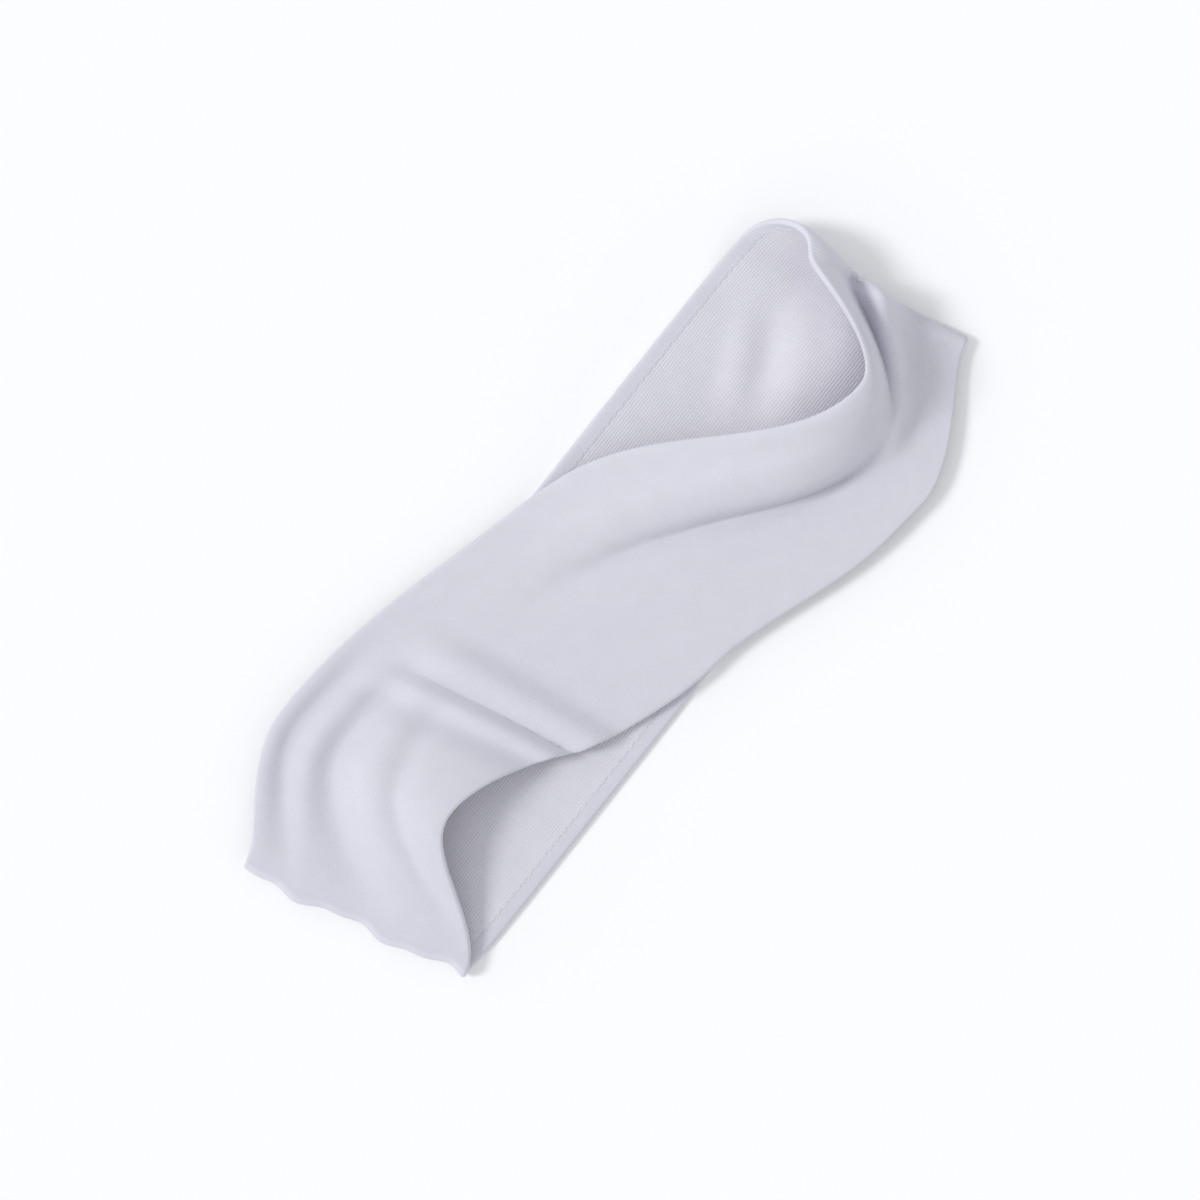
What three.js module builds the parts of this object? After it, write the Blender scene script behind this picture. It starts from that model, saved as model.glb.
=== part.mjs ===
// Sports headband: a two-layer band of stretch knit, closed into a loop and laid down flat.
// The lower leg lies straight on the table. The upper leg swings sideways over it. The spare cloth
// on the inside of each bend stands up: an open mouth near the right end, a lifted rim near the left.
import * as THREE from 'three';

// Driving dimensions, in millimetres and degrees.
const BAND_WIDTH = 70; // from rim to rim
const LAID_LENGTH = 246; // from end fold to end fold, as the band lies
const FABRIC = 0.9; // one layer of knit
const CLEARANCE = 0.3; // between the two layers, and beside a line of thread
const TURN_IN = 4; // how far the outer panel turns round each rim to the inside
const THREAD = 0.6; // thickness of a line of stitching
const LEG_GAP = 5.5; // clear height between the two legs where they lie closest
const RIGHT_SWING = 30; // how far the upper leg swings to one side near the right end
const LEFT_SWING = 19; // and to the other side near the left end
const FOLD_LEAN = 13; // how far the end folds lean from straight across
const UPPER_LEAN = 25; // how far the upper leg's cross line leans the other way
const MOUTH_RISE = 17; // how much higher the rim of the open mouth stands
const MOUTH_NARROWING = 0.4; // share of the width that standing up takes from the plan
const TIP_RISE = 3; // how far the open mouth lifts the end of the lower leg's rim
const TIP_DEPTH = 8; // how far the right fold bulges out at the open mouth
const SIDE_RISE = 10; // how much higher the lifted rim near the left end stands
const FOLD_LIFT = 1.2; // how far the lower leg comes up off the table where it turns into a fold
const JOIN_PLACE = 0.04; // where the join lies on the lower leg, -1 at its left end to 1

// Where each bend and rise lies along a leg: its peak, and its reach before and after it. They are
// shares of half the leg, from -1 at the left end to 1 at the right.
const PLACES = {
  rightSwing: [0.66, 0.66, 0.34],
  leftSwing: [-0.55, 0.45, 0.75],
  lean: [0.6, 1.55, 0.4],
  narrowing: [0.8, 0.85, 0.4],
  mouth: [0.88, 0.95, 0.28],
  side: [-0.68, 0.32, 0.42],
  tip: [1, 0.12, 0.12],
};
const LIFT_START = 0.93; // where, out along the lower leg, it starts to come up off the table
const LEAN_POWER = 6; // how late along the lower leg its cross line starts to lean

// Where across the band a rise starts, from 1 at the upper edge's rim to -1 at the lower edge's.
const MOUTH_START = -0.1;
const SIDE_START = 0.6;

// The colours of the pieces.
const OUTER_COLOR = 0xe4e4ef;
const LINING_COLOR = 0xdedbdd;
const THREAD_COLOR = 0xf2f1f5;

// How finely the loop and the width are divided.
const LEG_STEPS = 44;
const FOLD_STEPS = 6;
const STRIP_WIDTH = 6; // about how wide one strip of the grid is
const STRIPS = Math.round(BAND_WIDTH / STRIP_WIDTH);

const bandThickness = 2 * FABRIC + CLEARANCE;
const face = bandThickness / 2; // from the middle of the band to its outer or inner face
const halfWidth = BAND_WIDTH / 2;
const halfLength = LAID_LENGTH / 2;
const grooveWidth = THREAD + 2 * CLEARANCE;
const lipEdge = halfWidth - TURN_IN; // where the outer panel's turned-in edge ends
const liningEdge = lipEdge - grooveWidth;

// Heights of the middle of the band, and the round of a fold.
const lower = face;
const upper = lower + bandThickness + LEG_GAP;
const foldRadius = (upper - lower) / 2;

// Each leg's centre line runs from one end place to the other, so that the folds beyond it reach
// the laid length.
const foldLean = THREE.MathUtils.degToRad(FOLD_LEAN);
const upperLean = THREE.MathUtils.degToRad(UPPER_LEAN);
const endPlace = halfLength - face - foldRadius - halfWidth * Math.sin(foldLean);

// A smooth hump along a leg: 1 at its peak, and 0 from a reach before it and a reach after it.
function hump(along, [peak, before, after]) {
  const reach = along < peak ? before : after;
  const angle = (Math.min(Math.abs(along - peak) / reach, 1) * Math.PI) / 2;
  return Math.cos(angle) ** 2;
}

// The middle of the band on a leg. Along runs from -1 at the left end to 1 at the right, and
// across from 1 at the upper edge's rim to -1 at the lower edge's.
function lay(along, across, isUpper) {
  const tip = TIP_RISE * hump(along, PLACES.tip) * THREE.MathUtils.smoothstep(across, 0, 1);
  const lift = FOLD_LIFT * THREE.MathUtils.smoothstep(Math.abs(along), LIFT_START, 1);
  const lie = {
    swing: 0,
    lean: foldLean * Math.abs(along) ** LEAN_POWER,
    spread: 1,
    height: lower + tip + lift,
  };
  if (isUpper) {
    const mouth = MOUTH_RISE * hump(along, PLACES.mouth);
    const side = SIDE_RISE * hump(along, PLACES.side);
    lie.swing = LEFT_SWING * hump(along, PLACES.leftSwing)
      - RIGHT_SWING * hump(along, PLACES.rightSwing);
    lie.lean = foldLean - (foldLean + upperLean) * hump(along, PLACES.lean);
    lie.spread = 1 - MOUTH_NARROWING * hump(along, PLACES.narrowing);
    lie.height = upper + mouth * THREE.MathUtils.smoothstep(across, MOUTH_START, 1)
      + side * THREE.MathUtils.smoothstep(-across, -SIDE_START, 1);
  }
  const reach = across * halfWidth * lie.spread;
  return new THREE.Vector3(
    along * endPlace - reach * Math.sin(lie.lean),
    lie.swing + reach * Math.cos(lie.lean),
    lie.height,
  );
}

// The same on a fold, at an angle up from its outermost line: half an ellipse between the legs.
function turn(end, across, degrees) {
  const angle = THREE.MathUtils.degToRad(degrees);
  const below = lay(end, across, false);
  const above = lay(end, across, true);
  const open = end > 0 ? THREE.MathUtils.smoothstep(across, 0, 1) : 0;
  const depth = THREE.MathUtils.lerp(foldRadius, TIP_DEPTH, open) * Math.cos(angle);
  const point = below.clone().lerp(above, (1 + Math.sin(angle)) / 2);
  point.x += end * depth * Math.cos(foldLean);
  point.y += end * depth * Math.sin(foldLean);
  return point;
}

// Evenly spaced values from a start up to, but not including, an end.
const spaced = (start, end, count) =>
  Array.from({ length: count }, (_, index) => start + ((end - start) * index) / count);

// The loop, line by line: along the lower leg to the left end, over the fold, back along the upper
// leg to the right end, and down round the open fold to the join.
const acrossPlaces = [...spaced(1, -1, STRIPS), -1];
const lowerLeg = (along) => acrossPlaces.map((across) => lay(along, across, false));
const upperLeg = (along) => acrossPlaces.map((across) => lay(along, across, true));
const foldLine = (end) => (degrees) => acrossPlaces.map((across) => turn(end, across, degrees));
const leftSteps = Math.round((LEG_STEPS * (1 + JOIN_PLACE)) / 2);
const lines = [
  ...spaced(JOIN_PLACE, -1, leftSteps).map(lowerLeg),
  ...spaced(-90, 90, FOLD_STEPS).map(foldLine(-1)),
  ...spaced(-1, 1, LEG_STEPS).map(upperLeg),
  ...spaced(90, -90, FOLD_STEPS).map(foldLine(1)),
  ...spaced(1, JOIN_PLACE, LEG_STEPS - leftSteps).map(lowerLeg),
];
const steps = lines.length;

// Places and outward directions on the grid that every layer shares.
const grid = lines.map((line, step) => line.map((place, strip) => {
  const along = lines[(step + 1) % steps][strip].clone()
    .sub(lines[(step + steps - 1) % steps][strip]);
  const across = line[Math.min(strip + 1, STRIPS)].clone().sub(line[Math.max(strip - 1, 0)]);
  return { place, outward: across.cross(along).normalize() };
}));

// How much of its real width the cloth beside a rim keeps as it lies, measured square to the rim.
function rimShare(step, side) {
  const [rim, inside] = side < 0 ? [0, 1] : [STRIPS, STRIPS - 1];
  const line = grid[step % steps];
  const rimWay = grid[(step + 1) % steps][rim].place.clone()
    .sub(grid[(step + steps - 1) % steps][rim].place).normalize();
  const strip = line[inside].place.clone().sub(line[rim].place);
  return (strip.cross(rimWay).length() * STRIPS) / BAND_WIDTH;
}

// The turned-in edge, its groove and the thread keep their real widths beside a rim, however much
// the cloth is narrowed or runs slantwise there. The rest of the width takes up the difference.
function trueDistance(step, distance) {
  const inward = halfWidth - Math.abs(distance);
  const edgeZone = halfWidth - liningEdge;
  const zoneReach = edgeZone / rimShare(step, distance);
  const moved = inward < edgeZone
    ? (inward / edgeZone) * zoneReach
    : THREE.MathUtils.mapLinear(inward, edgeZone, halfWidth, zoneReach, halfWidth);
  return Math.sign(distance) * (halfWidth - moved);
}

// The point of the band at a step round the loop, a distance across it from its centre line
// and a depth outward from its middle surface.
function onBand(step, distance, depth) {
  const across = trueDistance(step, distance);
  const place = THREE.MathUtils.clamp((across / BAND_WIDTH + 0.5) * STRIPS, 0, STRIPS);
  const strip = Math.min(Math.floor(place), STRIPS - 1);
  const line = grid[step % steps];
  const share = place - strip;
  const point = line[strip].place.clone().lerp(line[strip + 1].place, share);
  const outward = line[strip].outward.clone().lerp(line[strip + 1].outward, share).normalize();
  return point.addScaledVector(outward, depth);
}

// The distances across the band where every layer has a corner, so that the facets of two layers
// that face each other are parallel however the cloth twists.
const sharedPlaces = [
  ...spaced(-halfWidth, halfWidth, STRIPS),
  -lipEdge,
  -liningEdge,
  liningEdge,
  lipEdge,
].sort((one, other) => one - other);

// A line across the band at one depth, through every shared place that lies between its ends.
function straightAcross(from, to, depth) {
  const passed = sharedPlaces.filter((place) => (place - from) * (place - to) < 0);
  if (from > to) {
    passed.reverse();
  }
  return [from, ...passed, to].map((place) => [place, depth]);
}

// A solid swept round the band from one step to another: its section is a closed outline of
// (distance across, depth) points. It closes on itself when it goes all the way round. Every
// square is cut along the same diagonal of the grid, so facing layers stay parallel.
function sweep(outline, firstStep, lastStep) {
  const isRing = lastStep - firstStep === steps;
  const sections = isRing ? steps : lastStep - firstStep + 1;
  const positions = [];
  for (let section = 0; section < sections; section += 1) {
    for (const [distance, depth] of outline) {
      positions.push(...onBand(firstStep + section, distance, depth).toArray());
    }
  }
  const count = outline.length;
  const triangles = [];
  for (let section = 0; section < (isRing ? sections : sections - 1); section += 1) {
    const here = section * count;
    const next = ((section + 1) % sections) * count;
    for (let corner = 0; corner < count; corner += 1) {
      const after = (corner + 1) % count;
      if (outline[after][0] > outline[corner][0]) {
        triangles.push(here + corner, next + corner, next + after);
        triangles.push(here + corner, next + after, here + after);
      } else {
        triangles.push(here + corner, next + corner, here + after);
        triangles.push(next + corner, next + after, here + after);
      }
    }
  }
  if (!isRing) {
    const flat = outline.map(([distance, depth]) => new THREE.Vector2(distance, depth));
    const cap = THREE.ShapeUtils.triangulateShape(flat, []);
    const last = (sections - 1) * count;
    for (const [a, b, c] of cap) {
      triangles.push(a, c, b);
      triangles.push(last + a, last + b, last + c);
    }
  }
  return outwardFacing(positions, triangles);
}

// The geometry with its triangles turned, if they need it, so that they face out.
function outwardFacing(positions, triangles) {
  const corner = (index) => new THREE.Vector3().fromArray(positions, 3 * index);
  let volume = 0;
  for (let first = 0; first < triangles.length; first += 3) {
    const [a, b, c] = [0, 1, 2].map((offset) => corner(triangles[first + offset]));
    volume += a.dot(b.cross(c)) / 6;
  }
  const geometry = new THREE.BufferGeometry();
  geometry.setAttribute('position', new THREE.Float32BufferAttribute(positions, 3));
  geometry.setIndex(volume > 0 ? triangles : triangles.reverse());
  geometry.computeVertexNormals();
  return geometry;
}

// The outer panel covers the outside and turns in round both rims. Its two ends meet at the join
// seam, on the lower leg.
const between = CLEARANCE / 2;
const outerOutline = [
  ...straightAcross(-halfWidth, halfWidth, face),
  ...straightAcross(halfWidth, lipEdge, -face),
  [lipEdge, -between],
  [halfWidth - FABRIC, -between],
  ...straightAcross(halfWidth - FABRIC, FABRIC - halfWidth, between),
  [FABRIC - halfWidth, -between],
  [-lipEdge, -between],
  ...straightAcross(-lipEdge, -halfWidth, -face),
];

// The inner panel, the lining, lies between the two turned-in edges.
const liningOutline = [
  ...straightAcross(-liningEdge, liningEdge, -between),
  ...straightAcross(liningEdge, -liningEdge, -face),
];

// A line of stitching lies in the groove between a turned-in edge and the lining.
function edgeSeamOutline(side) {
  const centre = side * (lipEdge - grooveWidth / 2);
  const half = THREAD / 2;
  const middle = -(between + face) / 2;
  return [
    [centre - half, middle],
    [centre, middle + half],
    [centre + half, middle],
    [centre, middle - half],
  ];
}

// A join seam: a bar of stitching across one panel, in the gap between that panel's two ends.
function joinSeam(width, depth) {
  const geometry = new THREE.BoxGeometry(THREAD, width, THREAD);
  const [start, end] = [onBand(0, 0, depth), onBand(steps - 1, 0, depth)];
  geometry.translate((start.x + end.x) / 2, start.y, start.z);
  return geometry;
}

// The gap at the join seam is one step of the loop, narrowed by these two rows of the grid.
function closeJoinGap() {
  const middle = (grid[0][0].place.x + grid[steps - 1][0].place.x) / 2;
  for (const point of grid[0]) {
    point.place.x = middle - grooveWidth / 2;
  }
  for (const point of grid[steps - 1]) {
    point.place.x = middle + grooveWidth / 2;
  }
}
closeJoinGap();

const knit = (color) => new THREE.MeshStandardMaterial({ color, roughness: 0.85, metalness: 0 });
const headband = new THREE.Group();
function add(name, geometry, color) {
  const mesh = new THREE.Mesh(geometry, knit(color));
  mesh.name = name;
  headband.add(mesh);
}

add('outer_panel', sweep(outerOutline, 0, steps - 1), OUTER_COLOR);
add('inner_panel', sweep(liningOutline, 0, steps - 1), LINING_COLOR);
add('upper_edge_seam', sweep(edgeSeamOutline(-1), 0, steps), THREAD_COLOR);
add('lower_edge_seam', sweep(edgeSeamOutline(1), 0, steps), THREAD_COLOR);
add('outer_join_seam', joinSeam(BAND_WIDTH - 2 * CLEARANCE, (between + face) / 2), THREAD_COLOR);
add('inner_join_seam', joinSeam(2 * liningEdge - 2 * CLEARANCE, -(between + face) / 2), THREAD_COLOR);

// The origin is the middle of the footprint, at table level.
const box = new THREE.Box3().setFromObject(headband);
headband.position.set(-(box.min.x + box.max.x) / 2, -(box.min.y + box.max.y) / 2, -box.min.z);

export default headband;
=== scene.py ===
# %% [markdown]
# # A stretch-knit sports headband, laid down after use
# The real thing is a loop of two layers of soft knit, about as wide as four fingers. Nothing in
# it is stiff, so its shape is only how it happens to lie: one leg flat on the table, the other
# swung sideways over it. We start from the frame, because the frame fixes every size.

# %% Load the frame
import math

import bpy
import numpy as np
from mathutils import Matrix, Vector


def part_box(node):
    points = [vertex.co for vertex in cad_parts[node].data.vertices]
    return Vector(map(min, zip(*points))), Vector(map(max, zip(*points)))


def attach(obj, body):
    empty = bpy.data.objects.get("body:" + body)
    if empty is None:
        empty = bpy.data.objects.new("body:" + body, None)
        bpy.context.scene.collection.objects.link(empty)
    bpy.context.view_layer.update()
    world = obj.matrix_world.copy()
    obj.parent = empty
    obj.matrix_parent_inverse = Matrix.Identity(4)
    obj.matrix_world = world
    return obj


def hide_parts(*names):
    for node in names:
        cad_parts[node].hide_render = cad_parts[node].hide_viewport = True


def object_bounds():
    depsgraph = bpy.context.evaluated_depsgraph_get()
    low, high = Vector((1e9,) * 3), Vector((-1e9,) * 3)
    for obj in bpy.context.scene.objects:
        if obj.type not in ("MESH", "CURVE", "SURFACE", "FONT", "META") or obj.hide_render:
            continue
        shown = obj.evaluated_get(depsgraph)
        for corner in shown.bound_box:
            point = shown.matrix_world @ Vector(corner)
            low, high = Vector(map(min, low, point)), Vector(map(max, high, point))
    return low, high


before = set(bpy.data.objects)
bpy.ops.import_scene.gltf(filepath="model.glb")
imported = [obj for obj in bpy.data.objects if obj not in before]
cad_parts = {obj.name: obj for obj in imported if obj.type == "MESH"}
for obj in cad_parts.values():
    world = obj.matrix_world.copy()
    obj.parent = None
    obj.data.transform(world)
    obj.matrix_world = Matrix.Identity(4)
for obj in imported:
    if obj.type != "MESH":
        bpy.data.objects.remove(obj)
cad_low, cad_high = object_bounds()
print("frame box", list(cad_low), list(cad_high))

# %% [markdown]
# The band's own sizes come out of the frame. The stitching of the join runs from rim to rim, so
# its length gives the band's width, and the box's longest side gives the laid length.

# %% Sizes of the band, in metres
MM = 0.001
RIM_CLEARANCE = 0.3 * MM
FABRIC = 0.9 * MM
LAYER_GAP = 0.2 * MM
TURN_IN = 4 * MM

join_low, join_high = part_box("outer_join_seam")
half_width = (join_high.y - join_low.y) / 2 + RIM_CLEARANCE
half_length = (cad_high.x - cad_low.x) / 2
centre_side = (join_high.y + join_low.y) / 2
face = FABRIC + LAYER_GAP / 2
print("width %.1f mm, laid length %.1f mm" % (2 * half_width / MM, 2 * half_length / MM))

# %% [markdown]
# The camera comes first, because everything after it is judged through it. It looks straight
# down, as a catalogue picture of a flat thing does, and it is turned so that the band lies on a
# diagonal. A long lens from nearly a metre away keeps the two ends the same size.

# %% Camera
CAMERA_HEIGHT = 0.94
CAMERA_TURN = math.radians(-51.5)
scene = bpy.context.scene
lens = bpy.data.cameras.new("overhead_camera")
lens.lens = 100
lens.sensor_width = 36
camera = bpy.data.objects.new("overhead_camera", lens)
camera.location = (*((cad_low + cad_high) / 2).xy, CAMERA_HEIGHT)
camera.rotation_euler = (0, 0, CAMERA_TURN)
scene.collection.objects.link(camera)
scene.camera = camera
print("camera %.2f m above the table" % CAMERA_HEIGHT)

# %% [markdown]
# ## How the band lies
# A strip that swings sideways has too much cloth on the inside of each bend. Near the right end
# the spare cloth stands up as an open mouth and a soft roll, and near the left end it lifts the
# other rim. It could be sculpted by hand, but a few smooth humps along the leg say the same thing
# in numbers that can be read and changed: for the swing, the lean, the narrowing and the rise.

# %% Smooth humps, bells and steps
def hump(along, peak, before, after):
    """1 at its peak, and 0 from a reach before it and a reach after it."""
    reach = np.where(along < peak, before, after)
    return np.cos(np.minimum(np.abs(along - peak) / reach, 1) * math.pi / 2) ** 2


def bell(value, centre, spread):
    return np.exp(-(((value - centre) / spread) ** 2))


def ease(value, start, end):
    share = np.clip((value - start) / (end - start), 0, 1)
    return share * share * (3 - 2 * share)


# %% Swing, lean and rise of the upper leg
RIGHT_SWING = 20 * MM
LEFT_SWING = 18 * MM
FOLD_LEAN = math.radians(13)
UPPER_LEAN = math.radians(25)
LEAN_POWER = 6
MOUTH_NARROWING = 0.46
SIDE_NARROWING = 0.2
UPPER_HEIGHT = 4.4 * MM
LOWEST_GAP = 1.1 * MM
MOUTH_RISE = 22 * MM
SIDE_RISE = 12.5 * MM
FOLD_DEPTH = 1.7 * MM
TIP_DEPTH = 8 * MM
TIP_RISE = 4 * MM
TIP_BULGE = 2 * MM
END_SAG = 1.1 * MM
end_place = half_length - face - FOLD_DEPTH - half_width * math.sin(FOLD_LEAN)


def leg_plan(along, across, is_upper):
    """Sideways swing, lean of the cross line and reach across from the centre line."""
    if not is_upper:
        return 0 * along, FOLD_LEAN * np.abs(along) ** LEAN_POWER, across * half_width
    swing = LEFT_SWING * hump(along, -0.66, 0.34, 0.75) ** 0.7
    swing = swing - RIGHT_SWING * hump(along, 0.8, 0.78, 0.2)
    lean = FOLD_LEAN - (FOLD_LEAN + UPPER_LEAN) * hump(along, 0.76, 1.7, 0.24)
    # The mouth draws in the upper rim and leaves the lower one; the lifted side does the opposite.
    mouth = MOUTH_NARROWING * hump(along, 0.84, 0.85, 0.35) * (1 + across)
    side = SIDE_NARROWING * hump(along, -0.7, 0.3, 0.5) * (1 - across)
    return swing, lean, (across - mouth + side) * half_width


# %% [markdown]
# The humps give the broad lie, and the folds give the cloth its character. Each is a ridge or a
# valley with a place and a width. `share` runs across the band, 0 at the upper rim to 1 at the
# lower. The roll follows the mouth and ends in a deep crease. The tuck is where the flat part of
# the leg laps a little over the lifted part, and rows of soft waves run from it to the left fold.

# %% The roll and the crease below the mouth
def roll(along, share):
    strength = hump(along, 0.52, 0.74, 0.36)
    crease = 0.42 - 0.1 * hump(along, -0.1, 0.3, 0.4)
    height = 4.2 * bell(share, 0.65 * crease, 0.1)
    height = height - 5.6 * bell(share, crease + 0.03, 0.055)
    lap = 2.8 * bell(share, crease - 0.07, 0.06)
    return strength * height * MM, strength * lap * MM


# %% The outer wall of the mouth, with a second crest below the rim
def mouth_wall(along, share):
    strength = hump(along, 1.02, 0.3, 0.4)
    height = 11.5 * bell(share, 0.47, 0.11) - 4.5 * bell(share, 0.27, 0.08)
    return strength * height * MM


# %% The tuck across the leg
def tuck(along, share):
    distance = (along + 0.43 - 0.09 * share) * end_place / MM
    strength = ease(share, 0.14, 0.42)
    height = 3.6 * bell(distance, 5.5, 5) - 1.2 * bell(distance, -2, 3)
    height = height + 2.2 * bell(distance, -7, 3) - 1.8 * bell(distance, -13, 4.5)
    lap = -1.2 * bell(distance, 1.5, 3.5)
    return strength * height * MM, strength * lap * MM


# %% The rows of waves from the tuck to the left fold
WAVES = [
    # share where it starts, how fast it spreads, width, height in millimetres
    (0.03, 0.02, 0.035, 1.2),
    (0.12, 0.05, 0.06, -2.2),
    (0.22, 0.05, 0.07, 1.8),
    (0.3, 0.32, 0.1, -2.8),
    (0.4, 0.62, 0.12, 2.2),
    (0.52, 0.78, 0.07, -1.2),
]


def waves(along, share):
    strength = hump(along, -0.66, 0.42, 0.34)
    height = 0 * share
    for start, spread, width, amount in WAVES:
        height = height + amount * bell(share, start + spread * (-0.45 - along), width)
    return strength * height * MM


# %% The wavy left fold, and the lining under the mouth
def left_bumps(along, share):
    wobble = 1.1 * np.sin(2 * math.pi * (2.4 * share + 0.12))
    wobble = wobble + 0.6 * np.sin(2 * math.pi * (5.3 * share + 0.4))
    return wobble * hump(along, -1, 0.16, 0.16) * MM


def inside_ramp(along, share):
    """The lining rises under the mouth, with soft puckers beside the rise."""
    ramp = 6.5 * hump(along, 0.82, 0.42, 0.3) * bell(share, 0.6, 0.2)
    pucker = 1.3 * hump(along, 0.72, 0.22, 0.25) * np.sin(22 * (share + 0.9 * along))
    return (ramp + pucker * bell(share, 0.38, 0.16)) * MM


# %% A point of the middle of the band
def lay(along, share, is_upper):
    """Along runs -1 to 1 from the left end to the right."""
    across = 1 - 2 * share
    swing, lean, reach = leg_plan(along, across, is_upper)
    slide = left_bumps(along, share)
    if is_upper:
        rise = MOUTH_RISE * hump(along, 0.88, 0.95, 0.32) * ease(across, -0.15, 1)
        rise = rise + SIDE_RISE * hump(along, -0.68, 0.32, 0.42) * ease(-across, -0.6, 1)
        roll_height, roll_lap = roll(along, share)
        tuck_height, tuck_lap = tuck(along, share)
        rise = rise + roll_height + tuck_height + mouth_wall(along, share) + waves(along, share)
        rise = rise - END_SAG * hump(along, 1, 0.2, 0.2) * ease(share, 0.5, 0.9)
        height = np.maximum(UPPER_HEIGHT + rise, 2 * face + LOWEST_GAP)
        reach = reach - roll_lap
        slide = slide + tuck_lap + TIP_BULGE * hump(along, 0.96, 0.22, 0.3) * ease(across, -0.4, 1)
    else:
        rise = TIP_RISE * hump(along, 1, 0.2, 0.2) * ease(across, 0, 1)
        height = face + rise + inside_ramp(along, share)
    x = along * end_place + slide - reach * np.sin(lean)
    y = centre_side + swing + reach * np.cos(lean)
    return np.stack([x, y, height], axis=-1)


# %% [markdown]
# The two legs are joined by round turns, each half an ellipse between the legs. The left turn is
# pressed low. The right turn is a cone: tight at the lower rim, and wide open at the mouth.

# %% A point on a turn
def turn(end, share, degrees):
    angle = math.radians(degrees)
    along = np.full_like(share, end)
    below = lay(along, share, False)
    above = lay(along, share, True)
    openness = ease(1 - 2 * share, -0.1, 1) if end > 0 else 0 * share
    depth = (FOLD_DEPTH + (TIP_DEPTH - FOLD_DEPTH) * openness) * math.cos(angle) * end
    point = below + (above - below) * (1 + math.sin(angle)) / 2
    point[:, 0] += depth * math.cos(FOLD_LEAN)
    point[:, 1] += depth * math.sin(FOLD_LEAN)
    return point


# %% Walk round the loop
STRIPS = 64
LEG_STEPS = 200
TURN_STEPS = 18
join_place = (join_low.x + join_high.x) / 2 / end_place
shares = np.linspace(0, 1, STRIPS + 1)


def leg_lines(start, end, count, is_upper):
    places = np.linspace(start, end, count, endpoint=False)
    return [lay(np.full_like(shares, place), shares, is_upper) for place in places]


def turn_lines(end, first, last):
    angles = np.linspace(first, last, TURN_STEPS, endpoint=False)
    return [turn(end, shares, angle) for angle in angles]


left_steps = round(LEG_STEPS * (1 + join_place) / 2)
middle = np.array(
    leg_lines(join_place, -1, left_steps, False)
    + turn_lines(-1, -90, 90)
    + leg_lines(-1, 1, LEG_STEPS, True)
    + turn_lines(1, 90, -90)
    + leg_lines(1, join_place, LEG_STEPS - left_steps, False)
)
rounds = len(middle)
print("the band's middle is a grid of", middle.shape[:2], "points")

# %% [markdown]
# Humps and bells meet in places no cloth would: a corner here, a pinch there. Real knit spreads a
# sharp bend over a few millimetres. A few rounds of averaging each point with its neighbours does
# the same, and the rims are kept where they are across the band, so the width isn't lost.

# %% Soften the bends
def soften(grid, times):
    for _ in range(times):
        around = (np.roll(grid, 1, axis=0) + np.roll(grid, -1, axis=0)) / 2
        beside = around.copy()
        beside[:, 1:-1] = (grid[:, 2:] + grid[:, :-2]) / 2
        grid = 0.5 * grid + 0.25 * around + 0.25 * beside
        grid[:, :, 2] = np.maximum(grid[:, :, 2], face)
    return grid


middle = soften(middle, 4)
round_lengths = np.linalg.norm(np.roll(middle, -1, axis=0) - middle, axis=2)
cross_lengths = np.linalg.norm(np.diff(middle, axis=1), axis=2)
cut_length = round_lengths.sum(axis=0).mean()
cut_width = cross_lengths.sum(axis=1).mean()
print("cloth: %.0f mm round, %.0f mm wide on average" % (cut_length / MM, cut_width / MM))

# %% Directions on the band
along_way = np.roll(middle, -1, axis=0) - np.roll(middle, 1, axis=0)
across_way = np.gradient(middle, axis=1)
outward = np.cross(across_way, along_way)
outward = outward / np.linalg.norm(outward, axis=2, keepdims=True)
travelled = np.cumsum(round_lengths.mean(axis=1)) - round_lengths.mean(axis=1)[0]


def on_band(distance, depth):
    """A whole line round the loop, at a distance from the centre line and a depth outward."""
    place = (half_width - distance) / (2 * half_width) * STRIPS
    strip = int(min(max(math.floor(place), 0), STRIPS - 1))
    part = place - strip
    points = middle[:, strip] * (1 - part) + middle[:, strip + 1] * part
    ways = outward[:, strip] * (1 - part) + outward[:, strip + 1] * part
    return points + ways / np.linalg.norm(ways, axis=1, keepdims=True) * depth


# %% [markdown]
# ## The pieces of cloth
# Each panel is its own closed sheet, made the way a factory would describe it: a section, carried
# round the loop. The outer panel's section covers the outside, rolls round each rim and comes back
# four millimetres inside. The lining's section lies between those two turned-in edges. The ends
# of each panel meet at the join on the lower leg, so the sweep stops just short of itself there.

# %% Carry a section round the loop
JOIN_GAP = 0.25 * MM
CRISP_ANGLE = math.radians(50)


def sweep(name, section):
    columns = np.array([on_band(distance, depth) for distance, depth in section])
    rings = np.swapaxes(columns, 0, 1)
    first = rings[0] + np.array([-JOIN_GAP / 2, 0, 0])
    last = rings[0] + np.array([JOIN_GAP / 2, 0, 0])
    rings = np.concatenate([first[None], rings[1:], last[None]])
    count = len(section)
    corner = np.arange(len(rings) * count).reshape(len(rings), count)
    after = np.roll(corner, -1, axis=1)
    sides = np.stack([corner[:-1], corner[1:], after[1:], after[:-1]], axis=-1).reshape(-1, 4)
    caps = [corner[0].tolist(), corner[-1][::-1].tolist()]
    mesh = bpy.data.meshes.new(name)
    mesh.from_pydata(rings.reshape(-1, 3).tolist(), [], sides.tolist() + caps)
    mesh.validate()
    map_cloth(mesh, section, len(rings))
    mesh.polygons.foreach_set("use_smooth", [True] * len(mesh.polygons))
    piece = bpy.data.objects.new(name, mesh)
    scene.collection.objects.link(piece)
    face_out(piece)
    mesh.set_sharp_from_angle(angle=CRISP_ANGLE)
    return piece


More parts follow.
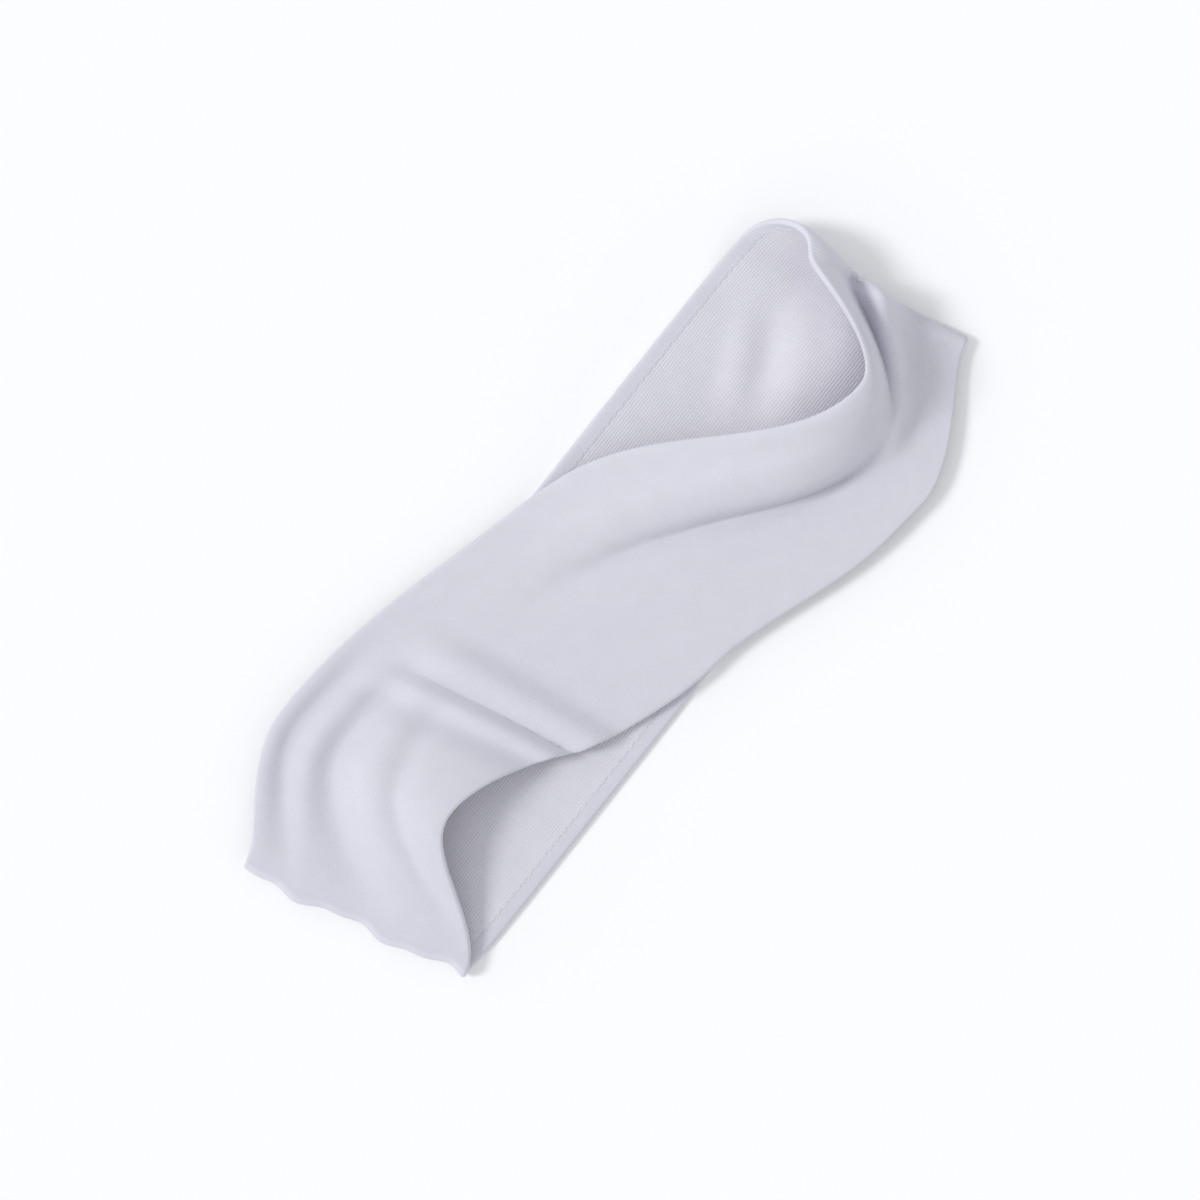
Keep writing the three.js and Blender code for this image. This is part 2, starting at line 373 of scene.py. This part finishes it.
def map_cloth(mesh, section, ring_count):
    """Millimetres of cloth as a UV map: round the loop, and across it."""
    lengths = np.append(travelled, cut_length) / MM
    across = np.array([distance for distance, _ in section]) / MM
    points = np.stack(np.meshgrid(lengths[:ring_count], across, indexing="ij"), axis=-1)
    corners = np.zeros(len(mesh.loops), dtype=np.int32)
    mesh.loops.foreach_get("vertex_index", corners)
    layer = mesh.uv_layers.new(name="cloth_mm")
    layer.data.foreach_set("uv", points.reshape(-1, 2)[corners].astype(np.float32).ravel())


def face_out(piece):
    """Turns every face outward, so that the sheet is a proper solid."""
    bpy.context.view_layer.objects.active = piece
    piece.select_set(True)
    bpy.ops.object.mode_set(mode="EDIT")
    bpy.ops.mesh.select_all(action="SELECT")
    bpy.ops.mesh.normals_make_consistent(inside=False)
    bpy.ops.object.mode_set(mode="OBJECT")
    piece.select_set(False)


# %% Lines and arcs for the sections
RIM_STEPS = 6


def line(start, end, depth, spacing=1.15 * MM):
    count = max(2, round(abs(end - start) / spacing) + 1)
    return [(distance, depth) for distance in np.linspace(start, end, count)]


def rim_arc(side, radius, first, last):
    centre = half_width - face
    angles = np.radians(np.linspace(first, last, RIM_STEPS + 1))[1:-1]
    return [(side * (centre + radius * math.cos(a)), radius * math.sin(a)) for a in angles]


# %% Outer panel
straight = half_width - face
lip = half_width - TURN_IN
gap = LAYER_GAP / 2
outer_section = (
    line(-straight, straight, face)
    + rim_arc(1, face, 90, -90)
    + line(straight, lip, -face)
    + line(lip, straight, -gap)
    + rim_arc(1, gap, -90, 90)
    + line(straight, -straight, gap)
    + rim_arc(-1, gap, 90, -90)
    + line(-straight, -lip, -gap)
    + line(-lip, -straight, -face)
    + rim_arc(-1, face, -90, 90)
)
outer_panel = sweep("outer_knit_panel", outer_section)
print("outer panel:", len(outer_panel.data.polygons), "faces")

# %% Lining
EDGE_SLIT = 0.04 * MM
UPPER_SLIT = 0.02 * MM
LOWER_SLIT = 0.03 * MM
lining_edge = lip - EDGE_SLIT
lining_section = (
    line(lining_edge, -lining_edge, -gap - UPPER_SLIT)
    + line(-lining_edge, lining_edge, -face + LOWER_SLIT)
)
lining = sweep("lining_knit_panel", lining_section)
print("lining:", len(lining.data.polygons), "faces")

# %% [markdown]
# Stretch knit can't be sewn with a straight stitch, because the thread would snap when the band
# goes over a head. A zigzag stretches with it. Each seam is one thread: a thin tube on a zigzag.

# %% Thread along a zigzag
THREAD = 0.22 * MM
STITCH = 1.6 * MM
SEAM_WIDTH = 0.9 * MM


def thread(name, points, closed):
    curve = bpy.data.curves.new(name, "CURVE")
    curve.dimensions = "3D"
    curve.bevel_depth = THREAD / 2
    curve.bevel_resolution = 1
    curve.use_fill_caps = True
    spline = curve.splines.new("POLY")
    spline.points.add(len(points) - 1)
    spline.points.foreach_set("co", np.c_[points, np.ones(len(points))].ravel())
    spline.use_cyclic_u = closed
    piece = bpy.data.objects.new(name, curve)
    scene.collection.objects.link(piece)
    bpy.context.view_layer.update()
    mesh = bpy.data.meshes.new_from_object(piece.evaluated_get(bpy.context.evaluated_depsgraph_get()))
    bpy.data.objects.remove(piece)
    piece = bpy.data.objects.new(name, mesh)
    mesh.polygons.foreach_set("use_smooth", [True] * len(mesh.polygons))
    scene.collection.objects.link(piece)
    return piece


def edge_seam(name, side):
    centre = side * lip
    inside = on_band(centre - SEAM_WIDTH / 2, -face)
    outside = on_band(centre + SEAM_WIDTH / 2, -face)
    places = np.linspace(0, rounds, 2 * round(cut_length / STITCH / 2), endpoint=False)
    index = places.astype(int) % rounds
    odd = (np.arange(len(index)) % 2)[:, None]
    return thread(name, inside[index] * odd + outside[index] * (1 - odd), True)


upper_seam = edge_seam("upper_edge_stitches", 1)
lower_seam = edge_seam("lower_edge_stitches", -1)
print("stitches along each rim:", round(cut_length / STITCH))


# %% Thread across the join
OUTER_SINK = 0.55 * THREAD
INNER_SINK = 0.05 * MM
END_SPARE = 0.5 * MM


def join_stitches(name, reach, depth):
    distances = np.arange(-reach, reach, STITCH / 2)
    points = np.array([on_band(distance, depth)[0] for distance in distances])
    points[:, 0] += np.where(np.arange(len(points)) % 2, 1, -1) * SEAM_WIDTH / 2
    return thread(name, points, False)


outer_join = join_stitches("outer_join_stitches", straight, face - OUTER_SINK)
inner_join = join_stitches("inner_join_stitches", lining_edge - END_SPARE, -face + INNER_SINK)
print("join stitches:", len(outer_join.data.polygons), len(inner_join.data.polygons), "faces")

# %% [markdown]
# ## Finishes
# Knit is rows of tiny loops. From outside you see fine ribs, called wales, that run across this
# band, half a millimetre apart. The lining shows its coarser back, with ribs that run along the
# band. The ribs are a wave on the cloth's own UV map, so they bend with every fold, and slow
# noise breaks up the even white.

# %% Knit
def knit(name, colour, wale, relief, sheen, rib_way, loop_way):
    material = bpy.data.materials.new(name)
    material.use_nodes = True
    nodes = material.node_tree.nodes
    link = material.node_tree.links.new
    shader = nodes["Principled BSDF"]
    shader.inputs["Roughness"].default_value = 0.88
    shader.inputs["Sheen Weight"].default_value = sheen
    shader.inputs["Sheen Roughness"].default_value = 0.45
    cloth = nodes.new("ShaderNodeUVMap")
    cloth.uv_map = "cloth_mm"
    ribs = nodes.new("ShaderNodeTexWave")
    ribs.bands_direction = rib_way
    ribs.inputs["Scale"].default_value = math.pi / 10 / wale
    ribs.inputs["Distortion"].default_value = 1.2
    ribs.inputs["Detail"].default_value = 1.5
    ribs.inputs["Detail Scale"].default_value = 2.0
    loops = nodes.new("ShaderNodeTexWave")
    loops.bands_direction = loop_way
    loops.inputs["Scale"].default_value = math.pi / 10 / (1.3 * wale)
    loops.inputs["Distortion"].default_value = 1.0
    mottle = nodes.new("ShaderNodeTexNoise")
    mottle.inputs["Scale"].default_value = 0.16
    mottle.inputs["Detail"].default_value = 4
    tone = nodes.new("ShaderNodeValToRGB")
    tone.color_ramp.elements[0].color = (*[0.95 * c for c in colour], 1)
    tone.color_ramp.elements[1].color = (*[min(1, 1.03 * c) for c in colour], 1)
    weave = nodes.new("ShaderNodeMath")
    weave.operation = "MULTIPLY_ADD"
    weave.inputs[1].default_value = 0.35
    # The rib wave also darkens the colour a little in the grooves between ribs: painted shade.
    painted_rib_shade = nodes.new("ShaderNodeMixRGB")
    painted_rib_shade.blend_type = "MULTIPLY"
    painted_rib_shade.inputs["Fac"].default_value = 0.1
    bump = nodes.new("ShaderNodeBump")
    bump.inputs["Strength"].default_value = relief
    bump.inputs["Distance"].default_value = 0.12 * MM
    for texture in (ribs, loops, mottle):
        link(cloth.outputs["UV"], texture.inputs["Vector"])
    link(mottle.outputs["Fac"], tone.inputs["Fac"])
    link(loops.outputs["Fac"], weave.inputs[0])
    link(ribs.outputs["Fac"], weave.inputs[2])
    link(tone.outputs["Color"], painted_rib_shade.inputs["Color1"])
    link(ribs.outputs["Color"], painted_rib_shade.inputs["Color2"])
    link(painted_rib_shade.outputs["Color"], shader.inputs["Base Color"])
    link(weave.outputs["Value"], bump.inputs["Height"])
    link(bump.outputs["Normal"], shader.inputs["Normal"])
    return material


outer_finish = knit("fine_white_knit", (0.7, 0.7, 0.77), 0.5, 0.6, 0.1, "X", "Y")
lining_finish = knit("coarse_white_knit", (0.72, 0.71, 0.77), 0.8, 0.6, 0.08, "Y", "X")


# %% Thread finish
def spun_thread(name, colour):
    material = bpy.data.materials.new(name)
    material.use_nodes = True
    nodes = material.node_tree.nodes
    shader = nodes["Principled BSDF"]
    shader.inputs["Roughness"].default_value = 0.6
    fibre = nodes.new("ShaderNodeTexNoise")
    fibre.inputs["Scale"].default_value = 3000
    tone = nodes.new("ShaderNodeValToRGB")
    tone.color_ramp.elements[0].color = (*[0.93 * c for c in colour], 1)
    tone.color_ramp.elements[1].color = (*colour, 1)
    material.node_tree.links.new(fibre.outputs["Fac"], tone.inputs["Fac"])
    material.node_tree.links.new(tone.outputs["Color"], shader.inputs["Base Color"])
    return material


thread_finish = spun_thread("white_thread", (0.74, 0.74, 0.79))
outer_panel.data.materials.append(outer_finish)
lining.data.materials.append(lining_finish)
for seam in (upper_seam, lower_seam, outer_join, inner_join):
    seam.data.materials.append(thread_finish)
print("finishes:", [m.name for m in (outer_finish, lining_finish, thread_finish)])

# %% [markdown]
# Each piece is hung under the frame's root, and the frame node it stands for is hidden.
# The outer panel's cloth is wider than the band by the two turned-in edges.

# %% Tie the pieces to the frame
PIECES = [
    (outer_panel, "outer_panel", "outer_knit"),
    (lining, "inner_panel", "lining_knit"),
    (upper_seam, "upper_edge_seam", "thread"),
    (lower_seam, "lower_edge_seam", "thread"),
    (outer_join, "outer_join_seam", "thread"),
    (inner_join, "inner_join_seam", "thread"),
]
for piece, node, slot in PIECES:
    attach(piece, "root")
    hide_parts(node)

# %% [markdown]
# ## Light and floor
# White cloth on a white floor is read only by its shadows. One broad lamp from the side, with
# a strong even fill, keeps the shadows soft and pale, as a studio tent does.

# %% World fill
scene.view_settings.view_transform = "Standard"
fill = bpy.data.worlds.new("studio_fill")
fill.use_nodes = True
fill.node_tree.nodes["Background"].inputs["Color"].default_value = (0.96, 0.97, 1.0, 1)
fill.node_tree.nodes["Background"].inputs["Strength"].default_value = 0.76
scene.world = fill

# %% Key lamp
key_light = bpy.data.lights.new("key_lamp", "SUN")
key_light.energy = 1.4
key_light.angle = math.radians(16)
key_lamp = bpy.data.objects.new("key_lamp", key_light)
key_lamp.rotation_euler = (math.radians(-48), 0, CAMERA_TURN + math.radians(90))
scene.collection.objects.link(key_lamp)

# %% Floor
FLOOR_SIZE = 6
bpy.ops.mesh.primitive_plane_add(size=FLOOR_SIZE, location=(0, 0, cad_low.z))
floor = bpy.context.object
floor.name = "floor"
paper = bpy.data.materials.new("white_paper")
paper.use_nodes = True
paper.node_tree.nodes["Principled BSDF"].inputs["Base Color"].default_value = (0.95, 0.95, 0.95, 1)
paper.node_tree.nodes["Principled BSDF"].inputs["Roughness"].default_value = 0.9
floor.data.materials.append(paper)
